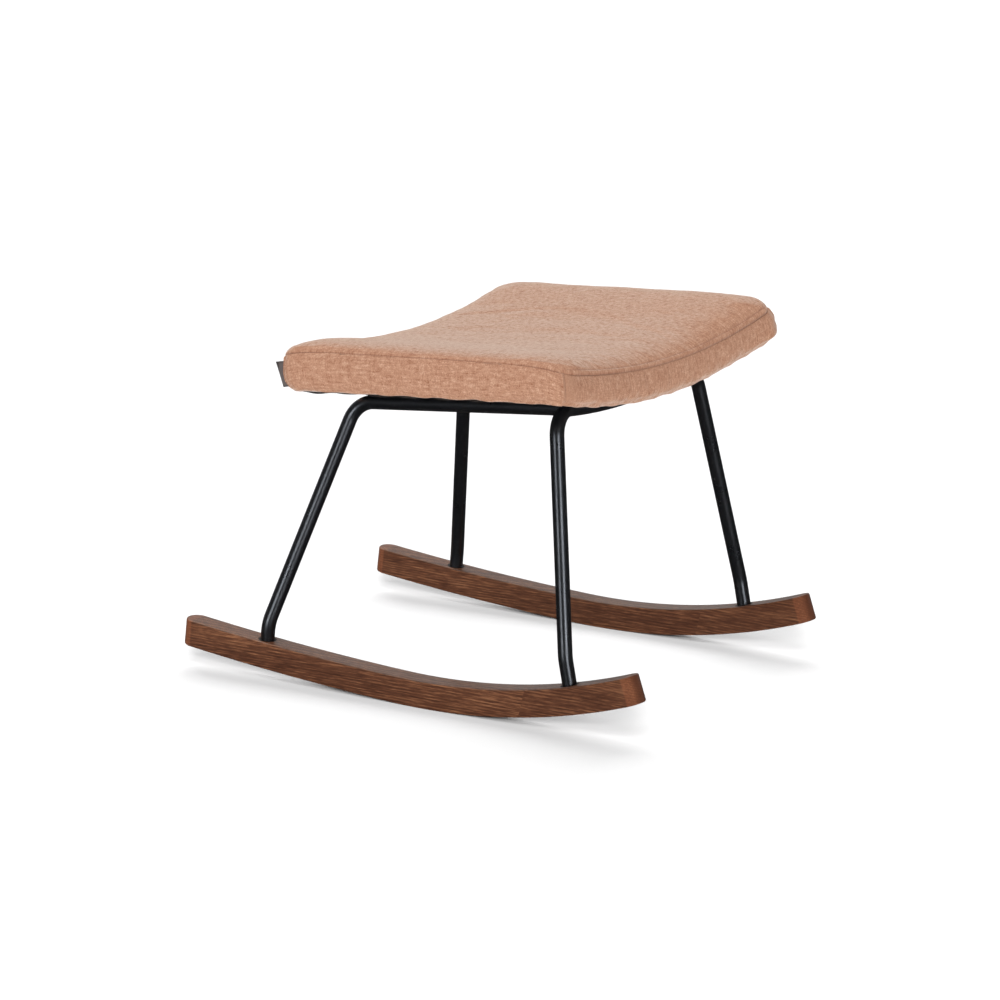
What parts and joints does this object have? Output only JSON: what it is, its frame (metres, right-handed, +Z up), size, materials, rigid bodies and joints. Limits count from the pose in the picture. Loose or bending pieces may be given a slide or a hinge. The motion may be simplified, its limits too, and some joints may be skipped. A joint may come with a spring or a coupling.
{
  "type": "rocking footstool",
  "caption": "Footstool with a dished upholstered seat on a bent tube frame that stands on curved wooden rockers.",
  "frame": {"origin": "on the floor, under the middle of the rockers: the centre of the foot of the bounding box", "axes": "+X across the rockers to the sitter's right, -Y to the front of the seat, +Z up"},
  "size_m": [0.4788, 0.6018, 0.4106],
  "materials": {
    "rocker_wood": "satin",
    "black_plastic": "matte",
    "zinc_steel": "satin",
    "black_frame": "satin",
    "plywood": "matte",
    "foam": "matte",
    "cover": "matte",
    "dust_cloth": "matte",
    "label": "matte"
  },
  "bodies": {
    "root": {"rocker_left": "rocker_wood", "rocker_right": "rocker_wood", "leg_sleeves": "black_plastic", "leg_inserts": "zinc_steel", "rocker_screws": "zinc_steel", "front_frame": "black_frame", "back_leg_left": "black_frame", "back_leg_right": "black_frame", "rear_strap": "black_frame", "front_tabs": "black_frame", "seat_screws": "zinc_steel", "tee_nuts": "zinc_steel", "seat_board": "plywood", "foam_pad": "foam", "top_panel": "cover", "top_welt": "cover", "band_front": "cover", "band_right": "cover", "band_back": "cover", "band_left": "cover", "dust_cover": "dust_cloth", "staples": "zinc_steel", "label_tab": "label"}
  },
  "joints": []
}
